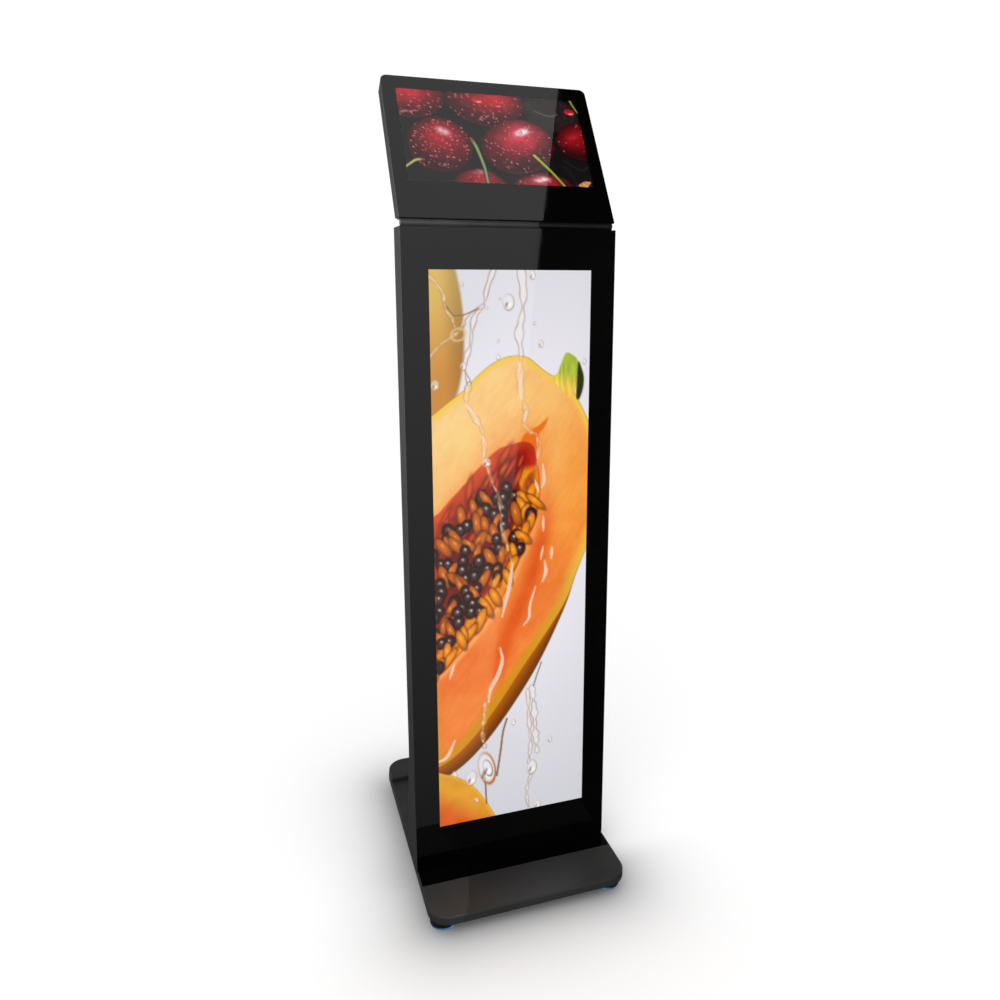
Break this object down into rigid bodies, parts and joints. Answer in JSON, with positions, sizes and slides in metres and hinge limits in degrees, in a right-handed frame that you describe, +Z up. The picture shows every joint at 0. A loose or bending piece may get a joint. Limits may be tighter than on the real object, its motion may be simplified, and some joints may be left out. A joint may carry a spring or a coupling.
{
  "type": "touchscreen kiosk",
  "caption": "Free-standing touchscreen kiosk: slim column with a tall portrait display, tilting touchscreen head on a hinge barrel, rear service door and flat base on levelling feet.",
  "frame": {"origin": "on the floor, midway across the base in both directions", "axes": "+X to the visitor's right as they face the kiosk, -Y out of the front, +Z up"},
  "size_m": [0.396, 0.52, 1.5496],
  "materials": {
    "casing_black": "fine-textured satin black powder coat",
    "hinge_grey": "satin dark grey paint",
    "front_glass": "tempered glass with a black printed border",
    "lower_picture": null,
    "upper_picture": null,
    "touch_film": "clear sensor film",
    "display_back": "matt back cover of a display module",
    "plated_steel": "zinc-plated sheet",
    "raw_steel": "primed plate",
    "equipment_metal": "brushed housing",
    "circuit_green": "solder mask",
    "black_plastic": "moulded",
    "soft_black": "foam and rubber",
    "lead_jacket": "flexible jacket",
    "bright_steel": "bright plated",
    "foot_rubber": "moulded pad on a plated stud"
  },
  "bodies": {
    "stand": {"base_pan": "casing_black", "base_ballast_plate": "raw_steel", "rear_weight_cover": "casing_black", "rear_weight_bar": "raw_steel", "side_panel_left": "casing_black", "side_panel_right": "casing_black", "column_floor_tray": "plated_steel", "column_top_cap": "casing_black", "cap_grommet": "soft_black", "column_front_glass": "front_glass", "lower_screen": "lower_picture", "lower_display_gasket": "soft_black", "lower_display_module": "display_back", "display_rails": "plated_steel", "neck_rail": "plated_steel", "equipment_plate": "plated_steel", "power_supply": "equipment_metal", "media_player": "equipment_metal", "driver_board": "circuit_green", "mains_lead": "lead_jacket", "display_leads": "lead_jacket", "rear_top_panel": "casing_black", "rear_bottom_panel": "casing_black", "power_inlet": "black_plastic", "switch_housing": "black_plastic", "speakers": "black_plastic", "fan_frames": "black_plastic", "door_hinge_fixed_leaves": "hinge_grey", "door_hinge_pins": "bright_steel", "lock_strikes": "plated_steel", "hinge_barrel": "hinge_grey", "head_hinge_pins": "bright_steel", "stand_fasteners": "bright_steel"},
    "head": {"head_glass": "front_glass", "touch_sensor_film": "touch_film", "head_gasket": "soft_black", "head_screen": "upper_picture", "head_display_module": "display_back", "head_display_brackets": "plated_steel", "head_driver_board": "circuit_green", "touch_controller_board": "circuit_green", "head_shell": "casing_black", "head_back_cover": "casing_black", "head_screws": "bright_steel", "head_knuckles": "hinge_grey"},
    "service_door": {"door_panel": "casing_black", "door_stiffener": "plated_steel", "door_hinge_moving_leaves": "hinge_grey", "door_screws": "bright_steel", "lock_bodies": "bright_steel"},
    "lower_cam": {"lock_cam_lower": "bright_steel"},
    "upper_cam": {"lock_cam_upper": "bright_steel"},
    "rocker": {"mains_rocker": "black_plastic"},
    "left_rotor": {"fan_rotor_left": "black_plastic"},
    "right_rotor": {"fan_rotor_right": "black_plastic"},
    "front_left_foot": {"foot_front_left": "foot_rubber"},
    "front_right_foot": {"foot_front_right": "foot_rubber"},
    "rear_left_foot": {"foot_rear_left": "foot_rubber"},
    "rear_right_foot": {"foot_rear_right": "foot_rubber"}
  },
  "joints": [
    {"name": "head_tilt", "type": "hinge", "parent": "stand", "child": "head", "pos_m": [0, -0.1105, 1.283], "axis": [1, 0, 0], "range_deg": [-20, 16]},
    {"name": "door_swing", "type": "hinge", "parent": "stand", "child": "service_door", "pos_m": [-0.181, -0.0607, 0.6505], "axis": [0, 0, 1], "range_deg": [0, 110]},
    {"name": "lower_cam_turn", "type": "hinge", "parent": "service_door", "child": "lower_cam", "pos_m": [0.165, -0.0655, 0.403], "axis": [0, -1, 0], "range_deg": [0, 90]},
    {"name": "upper_cam_turn", "type": "hinge", "parent": "service_door", "child": "upper_cam", "pos_m": [0.165, -0.0655, 0.898], "axis": [0, -1, 0], "range_deg": [0, 90]},
    {"name": "rocker_rock", "type": "hinge", "parent": "stand", "child": "rocker", "pos_m": [0.032, -0.0675, 0.093], "axis": [1, 0, 0], "range_deg": [0, 20]},
    {"name": "left_rotor_spin", "type": "hinge", "parent": "stand", "child": "left_rotor", "pos_m": [-0.06, -0.078, 1.214], "axis": [0, 1, 0], "continuous": true},
    {"name": "right_rotor_spin", "type": "hinge", "parent": "stand", "child": "right_rotor", "pos_m": [0.06, -0.078, 1.214], "axis": [0, 1, 0], "continuous": true},
    {"name": "front_left_foot_turn", "type": "hinge", "parent": "stand", "child": "front_left_foot", "pos_m": [-0.168, -0.2185, 0], "axis": [0, 0, 1], "continuous": true},
    {"name": "front_right_foot_turn", "type": "hinge", "parent": "stand", "child": "front_right_foot", "pos_m": [0.168, -0.2185, 0], "axis": [0, 0, 1], "continuous": true},
    {"name": "rear_left_foot_turn", "type": "hinge", "parent": "stand", "child": "rear_left_foot", "pos_m": [-0.168, 0.2185, 0], "axis": [0, 0, 1], "continuous": true},
    {"name": "rear_right_foot_turn", "type": "hinge", "parent": "stand", "child": "rear_right_foot", "pos_m": [0.168, 0.2185, 0], "axis": [0, 0, 1], "continuous": true}
  ]
}
